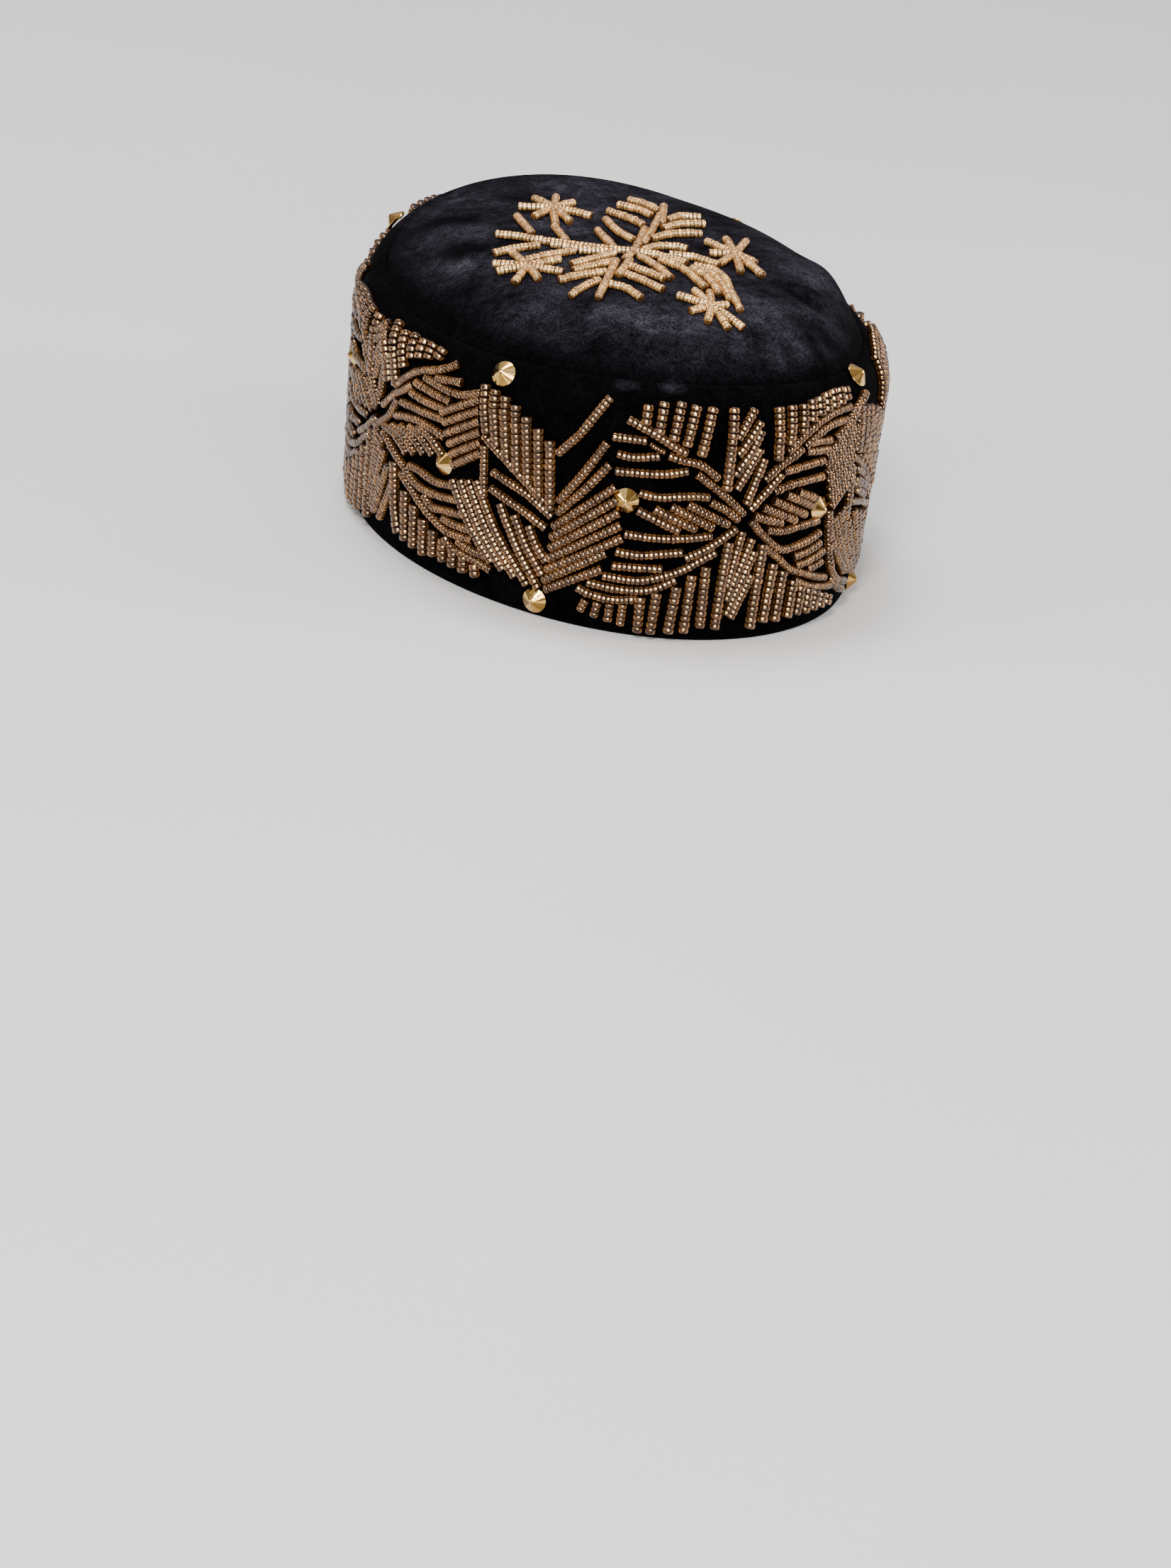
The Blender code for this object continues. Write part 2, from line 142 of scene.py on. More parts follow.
def lifted(surface, first, second, out):
    """Points at a height out from the surface."""
    base = surface(first, second)
    return base + facing_out(surface, first, second) * np.expand_dims(out, -1)


def woven_tube(name, points, closed_rows):
    """A smooth mesh over a grid of points whose columns run once round.

    With closed rows the last row joins the first, as round a wall's section.
    """
    rows, columns = points.shape[:2]
    gaps = rows if closed_rows else rows - 1
    shell = bmesh.new()
    bmesh.ops.create_grid(shell, x_segments=columns, y_segments=gaps, size=0.5)
    corners = np.empty(len(shell.verts) * 3)
    mesh = bpy.data.meshes.new(name)
    shell.to_mesh(mesh)
    shell.free()
    mesh.vertices.foreach_get("co", corners)
    spots = corners.reshape(-1, 3)
    column = np.rint((spots[:, 0] + 0.5) * columns).astype(int) % columns
    row = np.rint((spots[:, 1] + 0.5) * gaps).astype(int) % rows
    mesh.vertices.foreach_set("co", points[row, column].ravel())
    shell = bmesh.new()
    shell.from_mesh(mesh)
    bmesh.ops.remove_doubles(shell, verts=shell.verts, dist=SAME_PLACE)
    bmesh.ops.recalc_face_normals(shell, faces=shell.faces)
    shell.to_mesh(mesh)
    shell.free()
    mesh.shade_smooth()
    thing = bpy.data.objects.new(name, mesh)
    bpy.context.scene.collection.objects.link(thing)
    return thing


def add_node(tree, kind, **values):
    """A shader node with its settings and input values given by name."""
    node = tree.nodes.new("ShaderNode" + kind)
    for key, value in values.items():
        if hasattr(node, key):
            setattr(node, key, value)
        else:
            node.inputs[key.replace("_", " ")].default_value = value
    return node


def ramp_of(tree, source, stops):
    """A colour ramp with the given places and colours."""
    ramp = tree.nodes.new("ShaderNodeValToRGB")
    tree.links.new(source, ramp.inputs["Fac"])
    elements = ramp.color_ramp.elements
    while len(elements) < len(stops):
        elements.new(0.5)
    for element, (place, colour) in zip(elements, stops):
        element.position = place
        element.color = (*colour, 1)
    return ramp.outputs["Color"]


def new_material(name):
    """A material with its node tree and its main shader."""
    material = bpy.data.materials.new(name)
    material.use_nodes = True
    return material, material.node_tree, material.node_tree.nodes["Principled BSDF"]


# Painted sheen and shade on the velvet's colour: patches where the pile lies another
# way and catches more or less light, painted light streaks and dark creases by the
# folds, and painted glints of crushed pile at the front seam. Columns: place and radius
# in millimetres, then the change of brightness as a share
SHEEN_AND_SHADE_PATCHES = (
    ((-45, 55, 96), 20, -0.3), ((-55, 22, 96), 16, -0.3), ((-66, -8, 96), 9, -0.25),
    ((-62, 8, 96), 9, 0.5), ((-66, 17, 96), 8, 0.4), ((-70, -36, 90), 18, 0.3),
    ((-30, -62, 98), 20, 0.15), ((36, -66, 98), 13, -0.4), ((44, -42, 102), 14, -0.35),
    ((53, -62, 94), 13, 0.7), ((60, -32, 98), 14, 0.4), ((22, -74, 96), 10, 0.45),
    ((-66, -58, 88), 14, -0.3), ((10, 66, 98), 20, 0.15), ((-44, -66, 90), 10, -0.2),
    ((14, -84, 92), 8, 0.8), ((27, -81, 91.5), 8, 1.1), ((41, -76, 89.5), 7, 1.3),
    ((34, -72, 94), 5, -0.5), ((74, 18, 94), 18, -0.45), ((54, 56, 99), 18, -0.2),
    ((2, -52, 102), 18, -0.12),
    ((-42.5, -83.2, 85.1), 3.4, 6), ((-40.2, -84.6, 85.2), 3.2, 6), ((-37.8, -86, 85.4), 2.6, 3),
    ((-29.5, -89.2, 86.1), 3, 4), ((-27.2, -90.2, 86.2), 3.8, 7), ((-24.5, -91, 86.4), 3.4, 6),
)
DARKEST_SHEEN = 0.04
velvet, tree, shader = new_material("black_velvet")
place = add_node(tree, "TexCoord").outputs["Object"]
patches = add_node(tree, "TexNoise", Scale=40, Detail=4, Roughness=0.6, Distortion=0.6)
wisps = add_node(tree, "TexNoise", Scale=170, Detail=4, Roughness=0.6, Distortion=1.2)
pile = add_node(tree, "TexNoise", Scale=1250, Detail=4, Roughness=0.8)
brushed = add_node(tree, "TexNoise", Scale=24, Detail=3, Roughness=0.5)
for texture in (patches, wisps, pile, brushed):
    tree.links.new(place, texture.inputs["Vector"])
height = add_node(tree, "SeparateXYZ")
tree.links.new(place, height.inputs["Vector"])
# Painted top light: the velvet's colour is kept dark on the upright band and lit up from its
# rounded top onto the crown, where light from above falls
painted_top_light = add_node(
    tree, "MapRange", From_Min=0.087, From_Max=0.100, To_Min=0.05, To_Max=1
)
tree.links.new(height.outputs["Z"], painted_top_light.inputs["Value"])
# The pile's mottling as painted sheen: brighter and darker patches in the colour, where real
# velvet catches the light more or less
nap_sheen = add_node(tree, "MapRange", From_Min=0.32, From_Max=0.68, To_Min=0.1, To_Max=0.9)
tree.links.new(patches.outputs["Fac"], nap_sheen.inputs["Value"])
nap_sheen = nap_sheen.outputs["Result"]
for spot, radius, change in SHEEN_AND_SHADE_PATCHES:
    far = add_node(tree, "VectorMath", operation="DISTANCE")
    far.inputs[1].default_value = np.array(spot) * MM
    tree.links.new(place, far.inputs[0])
    near = add_node(
        tree, "MapRange", interpolation_type="SMOOTHSTEP", From_Min=0, From_Max=radius * MM,
        To_Min=change, To_Max=0,
    )
    tree.links.new(far.outputs["Value"], near.inputs["Value"])
    total = add_node(tree, "Math", operation="ADD")
    tree.links.new(nap_sheen, total.inputs[0])
    tree.links.new(near.outputs["Result"], total.inputs[1])
    nap_sheen = total.outputs["Value"]
darkest = add_node(tree, "Math", operation="MAXIMUM")
darkest.inputs[1].default_value = DARKEST_SHEEN
tree.links.new(nap_sheen, darkest.inputs[0])
brightness = add_node(tree, "Math", operation="MULTIPLY")
tree.links.new(darkest.outputs["Value"], brightness.inputs[0])
tree.links.new(painted_top_light.outputs["Result"], brightness.inputs[1])
# Near black velvet colour, raised by the painted sheen and the painted top light
colour = ramp_of(tree, brightness.outputs["Value"], (
    (0.0, (0.0004, 0.0004, 0.0005)),
    (0.5, (0.0085, 0.0079, 0.0105)),
    (1.0, (0.021, 0.0198, 0.0255)),
))
# Painted sheen in soft wisps and painted glints in the fine grain of the pile, multiplied into the
# colour
sheen_streaks = ramp_of(tree, wisps.outputs["Fac"], (
    (0.35, (0.5, 0.5, 0.5)), (0.70, (1.6, 1.6, 1.65)),
))
glints = ramp_of(tree, pile.outputs["Fac"], (
    (0.38, (0.2, 0.2, 0.2)), (0.66, (2.6, 2.6, 2.7)),
))
mixed = colour
for layer in (sheen_streaks, glints):
    mix = add_node(tree, "Mix", data_type="RGBA", blend_type="MULTIPLY")
    mix.inputs["Factor"].default_value = 1
    tree.links.new(mixed, mix.inputs["A"])
    tree.links.new(layer, mix.inputs["B"])
    mixed = mix.outputs["Result"]
tree.links.new(mixed, shader.inputs["Base Color"])
nap = add_node(tree, "Bump", Strength=0.5, Distance=0.0016)
tree.links.new(brushed.outputs["Fac"], nap.inputs["Height"])
fuzz = add_node(tree, "Bump", Strength=0.8, Distance=0.00035)
tree.links.new(pile.outputs["Fac"], fuzz.inputs["Height"])
tree.links.new(nap.outputs["Normal"], fuzz.inputs["Normal"])
tree.links.new(fuzz.outputs["Normal"], shader.inputs["Normal"])
shader.inputs["Roughness"].default_value = 0.92
shader.inputs["Specular IOR Level"].default_value = 0.015
shader.inputs["Sheen Weight"].default_value = 0.012
shader.inputs["Sheen Roughness"].default_value = 0.32
shader.inputs["Sheen Tint"].default_value = (0.42, 0.41, 0.50, 1)

# Once round the wall's section: up the outside, over the top edge, down the inside
# and under the hem. Each point is a height and a way out, both along the surface.
COLUMNS = 400
profile = [(row, 0) for row in np.linspace(HEM_ROUND, WALL, 40)]
profile += [(row, 0) for row in np.linspace(WALL + 1.5 * MM, BAND_TOP, 16)]
profile += [(BAND_TOP, -0.8 * MM), (BAND_TOP, -1.7 * MM)]
profile += [(row, -BAND_CLOTH) for row in np.linspace(BAND_TOP, HEM_ROUND, 30)]
profile += [(0.35 * MM, -2.1 * MM), (0, -1.25 * MM), (0.35 * MM, -0.4 * MM)]
profile = np.array(profile)
columns = GIRTH * np.arange(COLUMNS) / COLUMNS
along, up = np.meshgrid(columns, profile[:, 0])
out = np.broadcast_to(profile[:, 1:], along.shape)
shell = lifted(on_band, along, up, out)
shell[..., 2] = np.maximum(shell[..., 2], 0)
band = woven_tube("velvet_side_band", shell, True)
band.data.materials.append(velvet)
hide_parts("side_band")
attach(band, "root")

# Crown
# One velvet panel sewn into the top of the band. It puffs up over the seam, most at
# the front, and is gathered into soft folds, deepest at the wearer's left.
CROWN_CLOTH = 2 * MM
CROWN_PUFF = 14.5 * MM
PUFF_POWER = 5
WAVE_POWER = 6
PUFF_TO_LEFT = 0.28
PUFF_TO_FRONT = 0.4
SEAM_GAP = 0.3 * MM
# Columns: turn from the front in degrees, inner and outer end as shares of the way to
# the seam, half width and depth in millimetres. A depth below zero is a ridge.
CROWN_FOLDS = (
    (34, 0.62, 1.00, 6.0, 1.8),
    (47, 0.55, 0.97, 7.0, 2.2),
    (63, 0.66, 0.99, 6.0, 1.4),
    (-72, 0.68, 0.98, 7.5, 1.2),
    (150, 0.64, 0.98, 9.0, 1.5),
    (80, 0.80, 1.00, 13.0, -3.2),
    (168, 0.45, 0.93, 30.0, 1.1),
)


def fold_depth(turn, share):
    """How deep the folds are at a turn and a share of the way to the seam."""
    depth = 0
    for degrees, inner, outer, half_width, deepest in CROWN_FOLDS:
        side = np.remainder(turn - math.radians(degrees) + math.pi, 2 * math.pi) - math.pi
        across = side * share * MEAN_RADIUS / (half_width * MM)
        along = np.clip((share - inner) / (outer - inner), 0, 1)
        depth = depth + deepest * MM * np.exp(-(across**2)) * np.sin(math.pi * along)
    return depth


def on_crown(x, y):
    """Points of the crown's outside, above places on the floor."""
    across = x / (TOP_HALF[0] - SHOULDER_INSET)
    back = y / (TOP_HALF[1] - SHOULDER_INSET)
    share = np.minimum(np.hypot(across, back), 1)
    turn = np.arctan2(across, -back)
    puff = CROWN_PUFF * (1 + PUFF_TO_LEFT * across - PUFF_TO_FRONT * back)
    z = WALL + SHOULDER_RISE + BACK_LIFT * y + seam_wave(turn) * share**WAVE_POWER
    z = z + puff * (1 - share**PUFF_POWER) - fold_depth(turn, share)
    return np.stack((x, y, z), axis=-1)


# Rings from the middle out to the seam and back under the cloth. Each is a share of
# the way to the seam and a depth.
rings = [(share, 0) for share in np.linspace(0, 0.85, 44)]
rings += [(share, 0) for share in np.linspace(0.86, 1, 24)]
rings += [(1, -0.7 * MM), (1, -1.4 * MM)]
rings += [(share, -CROWN_CLOTH) for share in np.linspace(1, 0, 34)]
rings = np.array(rings)
along, share = np.meshgrid(columns, rings[:, 0])
turn = turn_at(along)
x = (TOP_HALF[0] - SHOULDER_INSET - SEAM_GAP) * share * np.sin(turn)
y = -(TOP_HALF[1] - SHOULDER_INSET - SEAM_GAP) * share * np.cos(turn)
panel = on_crown(x, y)
panel[..., 2] += np.broadcast_to(rings[:, 1:], along.shape)
crown = woven_tube("velvet_crown", panel, False)
crown.data.materials.append(velvet)
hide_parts("crown_top")
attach(crown, "root")

# Bead strands
# Metal lined glass seed beads, threaded and couched down on the velvet in short
# strands. Each flower, zigzag, spray and star is one field of such strands.

# Widths of the strands in millimetres
BOLD, MEDIUM, FINE, THIN = 3.95, 3.4, 3.15, 2.95
# Pitch of the beads as a share of the width, the part of it left open between two
# beads, and the height of a bead's middle as a share of its radius
BEAD_LENGTH = 0.5
BEAD_GAP = 0.015
BEAD_SEAT = 0.97
# Spread from bead to bead: radius as a share, height in millimetres, way as a slope
UNEVEN_SIZE = 0.03
UNEVEN_HEIGHT = 0.05
UNEVEN_WAY = 0.05
BEAD_SIDES = 10
REACH_FROM = 70 * MM
WAY_STEP = 0.2 * MM
STRAIGHT_STEPS = 40
BEND_STEPS = 24
# Rings of one bead. Columns: place along it in lengths, radius as a share, brightness,
# which paints shade into the gaps between beads and a highlight round the middle
BEAD_RINGS = (
    (-0.5, 0.87, 0), (-0.4, 0.96, 0.6), (-0.2, 1, 1), (0.2, 1, 1), (0.4, 0.96, 0.6), (0.5, 0.87, 0)
)


def smooth_path(points):
    """Many places along a soft curve through the charted ones."""
    points = np.array(points, float)
    if len(points) == 2:
        return np.linspace(points[0], points[1], STRAIGHT_STEPS)
    ends = np.vstack((2 * points[0] - points[1], points, 2 * points[-1] - points[-2]))
    steps = np.linspace(0, 1, BEND_STEPS)[:, None]
    runs = []
    for a, b, c, d in zip(ends, ends[1:], ends[2:], ends[3:]):
        bend = (2 * a - 5 * b + 4 * c - d) * steps**2 + (3 * (b - c) + d - a) * steps**3
        runs.append((2 * b + (c - a) * steps + bend) / 2)
    return np.vstack(runs)


def fan(size, count, first, last, crest=0, bow=0):
    """Strands side by side, from the first to the last, each a start and an end.

    The crest moves the middle starts outwards, and the bow bends each strand.
    """
    rows = []
    for step in np.linspace(0, 1, count):
        start = np.array(first[0]) * (1 - step) + np.array(last[0]) * step
        end = np.array(first[1]) * (1 - step) + np.array(last[1]) * step
        way = (end - start) / np.linalg.norm(end - start)
        start = start - way * crest * math.sin(math.pi * step)
        middle = (start + end) / 2 + np.array((-way[1], way[0])) * bow
        rows.append((size, start, middle, end) if bow else (size, start, end))
    return rows


def beads_along(surface, middle, strands, reach, seed):
    """Centres, ways, outward directions, and radius with length, of all the beads.

    The reach stretches the strands above REACH_FROM, as a share.
    """
    random = np.random.default_rng(seed)
    centres, ways, outs, sizes = [], [], [], []
    for strand in strands:
        size = strand[0] * MM
        path = smooth_path(strand[1:]) * MM + np.array(middle)
        path[:, 1] += (reach - 1) * np.maximum(path[:, 1] - REACH_FROM, 0)
        steps = np.linalg.norm(np.diff(surface(path[:, 0], path[:, 1]), axis=0), axis=1)
        gone = np.concatenate(((0,), np.cumsum(steps)))
        pitch = size * BEAD_LENGTH
        count = max(2, round(gone[-1] / pitch))
        pitch = gone[-1] / count
        marks = (np.arange(count) + 0.5) * pitch
        places = [np.interp(marks, gone, path[:, axis]) for axis in (0, 1)]
        ahead = [np.interp(marks + WAY_STEP, gone, path[:, axis]) for axis in (0, 1)]
        behind = [np.interp(marks - WAY_STEP, gone, path[:, axis]) for axis in (0, 1)]
        radius = size / 2 * random.normal(1, UNEVEN_SIZE, count)
        height = radius * BEAD_SEAT + random.normal(0, UNEVEN_HEIGHT, count) * MM
        centre = lifted(surface, *places, height)
        way = surface(*ahead) - surface(*behind)
        way = way / np.linalg.norm(way, axis=1, keepdims=True)
        way = way + random.normal(0, UNEVEN_WAY, way.shape)
        way = way / np.linalg.norm(way, axis=1, keepdims=True)
        centres.append(centre)
        ways.append(way)
        outs.append(facing_out(surface, *places))
        sizes.append(np.stack((radius, np.full(count, pitch * (1 - BEAD_GAP))), axis=1))
    return [np.vstack(part) for part in (centres, ways, outs, sizes)]


def bead_field(name, node, surface, middle, strands, reach, material, seed):
    """All the beads of one field, joined into one mesh."""
    centres, ways, outs, sizes = beads_along(surface, middle, strands, reach, seed)
    sides = np.cross(ways, outs)
    sides = sides / np.linalg.norm(sides, axis=1, keepdims=True)
    outs = np.cross(sides, ways)
    angle = 2 * math.pi * np.arange(BEAD_SIDES) / BEAD_SIDES
    place = np.repeat([ring[0] for ring in BEAD_RINGS], BEAD_SIDES)
    share = np.repeat([ring[1] for ring in BEAD_RINGS], BEAD_SIDES)
    around = np.tile(angle, len(BEAD_RINGS))
    length = (sizes[:, 1, None] * place)[..., None] * ways[:, None]
    flat = (sizes[:, 0, None] * share * np.cos(around))[..., None] * sides[:, None]
    tall = (sizes[:, 0, None] * share * np.sin(around))[..., None] * outs[:, None]
    corners = centres[:, None] + length + flat + tall
    ring = np.arange(BEAD_SIDES)
    after = (ring + 1) % BEAD_SIDES
    quads = []
    for row in range(len(BEAD_RINGS) - 1):
        low = row * BEAD_SIDES
        high = low + BEAD_SIDES
        quads.append(np.stack((low + ring, high + ring, high + after, low + after), axis=1))
    quads = np.vstack(quads)
    each = BEAD_SIDES * len(BEAD_RINGS)
    starts = np.arange(len(centres)) * each
    sides_index = (starts[:, None, None] + quads).reshape(-1, 4)
    near = starts[:, None] + ring[None]
    far = starts[:, None] + (each - BEAD_SIDES) + ring[::-1][None]
    mesh = bpy.data.meshes.new(name)
    faces = [tuple(face) for face in sides_index.tolist()]
    faces += [tuple(face) for face in near.tolist()]
    faces += [tuple(face) for face in far.tolist()]
    mesh.from_pydata(corners.reshape(-1, 3).tolist(), [], faces)
    random = np.random.default_rng(seed + 100)
    tone = np.repeat(random.random(len(centres)), each)
    attribute = mesh.attributes.new("bead_tone", "FLOAT", "POINT")
    attribute.data.foreach_set("value", tone.astype(np.float32))
    # Painted brightness of each ring: painted shade at the ends, painted highlight at the middle
    ring_light = np.tile(np.repeat([ring[2] for ring in BEAD_RINGS], BEAD_SIDES), len(centres))
    attribute = mesh.attributes.new("bead_painted_light", "FLOAT", "POINT")
    attribute.data.foreach_set("value", ring_light.astype(np.float32))
    mesh.shade_smooth()
    mesh.materials.append(material)
    thing = bpy.data.objects.new(name, mesh)
    bpy.context.scene.collection.objects.link(thing)
    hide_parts(node)
    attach(thing, "root")


def bead_material(name, bright, warm, dark, edge, fine, wide, metal):
    """Lined glass, with painted light in its colour: a painted highlight of the lining
    along the middle of the bead, painted shade beside it and a painted warm reflection
    at the rim.

    Fine is the scale of the painted sparkle, and wide is how far the painted highlight
    in the middle spreads.
    """
    material, tree, shader = new_material(name)
    place = add_node(tree, "TexCoord").outputs["Object"]
    facing = add_node(tree, "LayerWeight", Blend=0.5)
    tone = add_node(tree, "Attribute", attribute_name="bead_tone")
    ring_light = add_node(tree, "Attribute", attribute_name="bead_painted_light")
    sparkle = add_node(tree, "TexVoronoi", Scale=fine)
    tree.links.new(place, sparkle.inputs["Vector"])
    # Painted highlight and shade by how squarely each spot faces the view: bright along the
    # middle, dark beside it, warm towards the rim and dark again at the very edge
    painted_lining_light = ramp_of(tree, facing.outputs["Facing"], (
        (0.0, bright), (0.014 * wide, bright), (0.032 * wide, warm), (0.075 * wide, dark),
        (0.20, dark), (0.30, edge), (0.44, edge), (0.66, dark),
    ))
    # Painted sparkle: small glints and dark flecks of the lining, multiplied into the colour
    painted_sparkle = ramp_of(tree, sparkle.outputs["Distance"], (
        (0.15, (1.5, 1.45, 1.35)), (0.5, (0.9, 0.86, 0.8)), (0.8, (0.4, 0.35, 0.3)),
    ))
    shade = ramp_of(tree, tone.outputs["Fac"], (
        (0.0, (0.6, 0.57, 0.54)), (0.6, (1, 1, 1)), (1.0, (1.4, 1.36, 1.3)),
    ))
    # Painted shade at the bead's ends, in the gaps between beads, and a painted highlight round
    # its middle
    ends = ramp_of(tree, ring_light.outputs["Fac"], (
        (0.0, (0.26, 0.20, 0.15)), (0.6, (0.80, 0.74, 0.68)), (1.0, (1.3, 1.3, 1.3)),
    ))
    mixed = painted_lining_light
    for layer in (painted_sparkle, shade, ends):
        mix = add_node(tree, "Mix", data_type="RGBA", blend_type="MULTIPLY")
        mix.inputs["Factor"].default_value = 1
        tree.links.new(mixed, mix.inputs["A"])
        tree.links.new(layer, mix.inputs["B"])
        mixed = mix.outputs["Result"]
    tree.links.new(mixed, shader.inputs["Base Color"])
    shader.inputs["Metallic"].default_value = metal
    shader.inputs["Roughness"].default_value = 0.2
    shader.inputs["Coat Weight"].default_value = 0.35
    shader.inputs["Coat Roughness"].default_value = 0.03
    return material


band_beads = bead_material(
    "bronze_seed_beads", (1.0, 0.78, 0.42), (0.50, 0.27, 0.09), (0.036, 0.015, 0.0045),
    (0.235, 0.110, 0.032), 1400, 0.8, 0.5,
)
# The crown's beads get paler, brighter colours and a wider bright middle than the band's: partly
# their own lighter gold, partly painted light from above, where the crown faces the sky
crown_beads = bead_material(
    "gold_seed_beads", (1.0, 0.92, 0.64), (1.0, 0.74, 0.36), (0.42, 0.20, 0.06),
    (0.90, 0.52, 0.19), 1700, 3.0, 0.5,
)

# Charts of the strands. The first value is the bead size and the pairs are places
# in millimetres: along the band from the middle of the flower, and up from the rim.
FLOWER_RIGHT_SIDE = [
    (BOLD, (-37, 82.4), (-37.2, 77.4)),
    (BOLD, (-31.8, 83.5), (-32.6, 75.8)),
    (BOLD, (-26.1, 83.9), (-27.8, 74.7)),
    (BOLD, (-21, 83.2), (-23.3, 73.7)),
    (BOLD, (-15.5, 82.8), (-18.3, 71.2)),
    (BOLD, (-8.2, 82.8), (-8.2, 70.5), (-8.7, 58.5)),
    (MEDIUM, (-43.2, 78.2), (-32.8, 75.3), (-22.8, 71.8)),
    (FINE, (-28.9, 70.3), (-23, 68.7), (-18.9, 68), (-15.8, 66.2), (-11.8, 62.8)),
    (FINE, (-19.3, 64.3), (-12.8, 59.3), (-8.2, 55.5), (-1.6, 49)),
    (FINE, (-47.4, 73.7), (-36.2, 73.9)),
    (1.9, (-35.2, 73.4), (-30, 71)),
    (FINE, (-45.5, 68.3), (-39.7, 68), (-31.6, 69.7)),
    (FINE, (-45.8, 61.8), (-38.2, 62.4), (-29.7, 63.2), (-22, 65.1)),
    (FINE, (-37.8, 55.1), (-31.2, 54.3), (-25, 55.2), (-18.9, 55.8), (-14.3, 55.5)),
    (FINE, (-13.9, 53.9), (-8.2, 50.8), (-3.5, 47)),
    (FINE, (-41.8, 38.9), (-31.2, 38.8), (-21.2, 39.7), (-12.4, 41.1)),
    (FINE, (-3.9, 43.9), (-8.9, 39.7), (-14.3, 35.8), (-21.2, 32)),
    (FINE, (-44.3, 31.8), (-36.6, 31.6), (-28.2, 33.2), (-22, 34.3)),
    (FINE, (-45.2, 26.2), (-37.4, 26.8), (-28.5, 27.5)),
    (FINE, (-10.5, 34.7), (-15.8, 31.6), (-21.2, 27.8), (-28.9, 24.3), (-36.6, 22), (-48.2, 21.8)),
    (FINE, (-23.7, 23.9), (-31.2, 19.3), (-38.9, 17.8), (-47.4, 17.8), (-53.4, 18.2)),
    (FINE, (-35.8, 15.1), (-44.3, 13.4), (-52, 13.9), (-56.8, 15.5)),
    (BOLD, (-13.7, 29.7), (-14.3, 6.2)),
    (BOLD, (-18.3, 26.2), (-19.9, 3.9)),
    (BOLD, (-23.2, 21.6), (-25.2, 3.5)),
    (BOLD, (-29.7, 18.5), (-31.2, 2.8)),
    (BOLD, (-35.1, 16.2), (-35.5, 2.8)),
    (BOLD, (-6.2, 38.9), (-7.8, 22.8), (-8.9, 5.5)),
    (3.3, (-40.8, 12.4), (-41.4, 4.3)),
    (3.3, (-45.2, 12), (-45.7, 5.1)),
    (3.3, (-49.3, 11.6), (-50.5, 5.8)),
    (3.3, (-53.5, 11.6), (-55.2, 7)),
]
FLOWER_RIGHT_SIDE += fan(MEDIUM, 4, ((-21.6, 52.8), (-6.8, 45.2)), ((-38, 48.6), (-23.6, 42.3)))
FLOWER_MIDDLE = [
    (MEDIUM, (-6.2, 75.5), (-0.5, 82.4)),
    (MEDIUM, (-5.8, 71.6), (1.8, 79.3)),
    (MEDIUM, (-6.2, 63.9), (2.2, 77.4)),
    (MEDIUM, (-5.1, 58.5), (2.2, 73.5)),
    (MEDIUM, (-1.2, 52.8), (4.3, 70.1)),
    (MEDIUM, (-1.6, 42.8), (-5.5, 21.2)),
    (MEDIUM, (2.5, 39.7), (-5.5, 16.2)),
    (MEDIUM, (3.8, 34.7), (-5.1, 10.6)),
    (MEDIUM, (3.4, 25.8), (-3.4, 9.3)),
]

FLOWER_LEFT_SIDE = [
    (FINE, (0.5, 50.5), (4.9, 55.5), (11.8, 63.2)),
    (FINE, (4.9, 61.6), (11.8, 67), (19.5, 71.6)),
    (FINE, (13, 71.2), (19.5, 74.9), (26.5, 77.4), (34, 78.9), (44, 79)),
    (FINE, (20.5, 72.3), (27, 75), (34, 76.2), (42, 76)),
    (FINE, (23, 73), (28, 72.8), (33, 72.3)),
    (FINE, (21.5, 70), (26.5, 69.5), (33, 68.8)),
    (FINE, (12.2, 63.9), (21.1, 64.7), (30.7, 65.1)),
    (FINE, (9.2, 56.6), (14.9, 58.3), (22.6, 58.9), (31.1, 58.9)),
    (MEDIUM, (19.5, 55.3), (29, 51)),
    (MEDIUM, (14.5, 55), (27.8, 48.2)),
    (MEDIUM, (9.2, 53.5), (24.3, 45.8)),
    (MEDIUM, (5.4, 51.2), (19.8, 44.5)),
    (MEDIUM, (2, 48.2), (13.8, 44.3)),
    (FINE, (1.1, 46.6), (6, 41), (12, 35.6), (16, 33.8), (22.6, 34.3), (28, 35.3), (33.4, 37)),
    (FINE, (7.6, 42.4), (13.8, 41.1), (21.1, 41.6), (31.5, 42)),
    (FINE, (7.6, 35.8), (14.2, 30.5), (19.5, 25.8), (26.5, 22.8), (34.2, 19.7), (40.3, 17.8)),
    (FINE, (20.7, 30.1), (27.2, 30.8), (34.5, 32.8)),
    (FINE, (22.2, 26.4), (29, 27), (37.2, 28.9)),
    (FINE, (28.6, 24), (32, 24), (36.8, 25)),
    (FINE, (22.6, 20.8), (30.3, 17), (38, 14.7), (48, 12.8)),
    (BOLD, (8.6, 82.8), (9.5, 68.9)),
    (BOLD, (14, 82.9), (13.8, 73.5)),
    (BOLD, (19.2, 82.9), (18.8, 75.8)),
    (BOLD, (23.4, 83.9), (23, 78)),
]
FLOWER_LEFT_SIDE += fan(BOLD, 5, ((27, 84.3), (26.7, 79.2)), ((42, 85.2), (42, 81)), crest=0.9)
FLOWER_LEFT_SIDE += [
    (BOLD, (6.7, 37.4), (4.5, 5.1)),
    (BOLD, (11.8, 29.3), (9.5, 7)),
    (BOLD, (16.5, 25.8), (14.9, 6.6)),
    (BOLD, (21.8, 21.2), (20.7, 7)),
]
FLOWER_LEFT_SIDE += fan(BOLD, 5, ((26.3, 18.2), (25.7, 7)), ((44.2, 10.5), (43.4, 6.6)))

